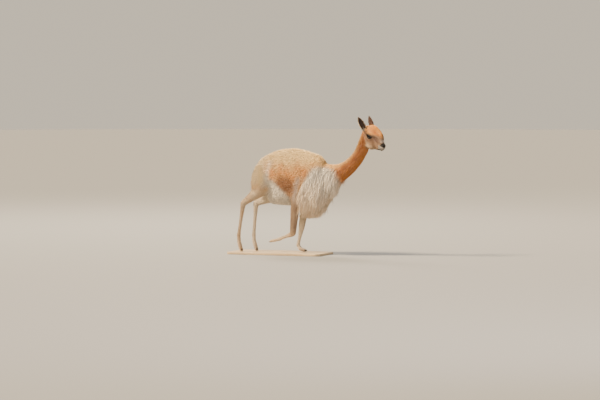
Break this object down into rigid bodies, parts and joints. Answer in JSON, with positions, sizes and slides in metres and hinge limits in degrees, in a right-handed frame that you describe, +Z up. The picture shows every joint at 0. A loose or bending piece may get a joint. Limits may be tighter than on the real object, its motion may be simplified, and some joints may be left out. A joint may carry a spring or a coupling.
{
  "type": "vicuna figure",
  "caption": "Life-size still model of a galloping vicuna with a long white breast ruff, upright ears and two-toed feet, one foreleg folded, on a flat base.",
  "frame": {"origin": "centre of the base's underside", "axes": "+X along the base's length, the way the animal's body faces; +Y to the animal's left; +Z up"},
  "size_m": [1.3289, 0.36, 1.1144],
  "materials": {
    "fleece": "dense wool",
    "breast_hair": "long silky hair",
    "neck_wool": "dense wool",
    "face_hair": "short hair",
    "leg_hair": "short hair",
    "ear_hair": "short hair",
    "eye": "wet gloss",
    "nail": "worn satin",
    "stand": "matte"
  },
  "bodies": {
    "root": {"stand_base": "stand", "torso": "fleece", "chest": "breast_hair", "tail": "fleece", "neck": "neck_wool", "head": "face_hair", "ear_right": "ear_hair", "ear_left": "ear_hair", "eye_right": "eye", "eye_left": "eye", "foreleg_right_upper_arm": "fleece", "foreleg_right_forearm": "leg_hair", "foreleg_right_cannon": "leg_hair", "foreleg_right_foot": "leg_hair", "foreleg_right_nail_right": "nail", "foreleg_right_nail_left": "nail", "foreleg_left_upper_arm": "fleece", "foreleg_left_forearm": "leg_hair", "foreleg_left_cannon": "leg_hair", "foreleg_left_foot": "leg_hair", "foreleg_left_nail_right": "nail", "foreleg_left_nail_left": "nail", "hindleg_right_thigh": "fleece", "hindleg_right_shank": "leg_hair", "hindleg_right_cannon": "leg_hair", "hindleg_right_foot": "leg_hair", "hindleg_right_nail_right": "nail", "hindleg_right_nail_left": "nail", "hindleg_left_thigh": "fleece", "hindleg_left_shank": "leg_hair", "hindleg_left_cannon": "leg_hair", "hindleg_left_foot": "leg_hair", "hindleg_left_nail_right": "nail", "hindleg_left_nail_left": "nail"}
  },
  "joints": []
}
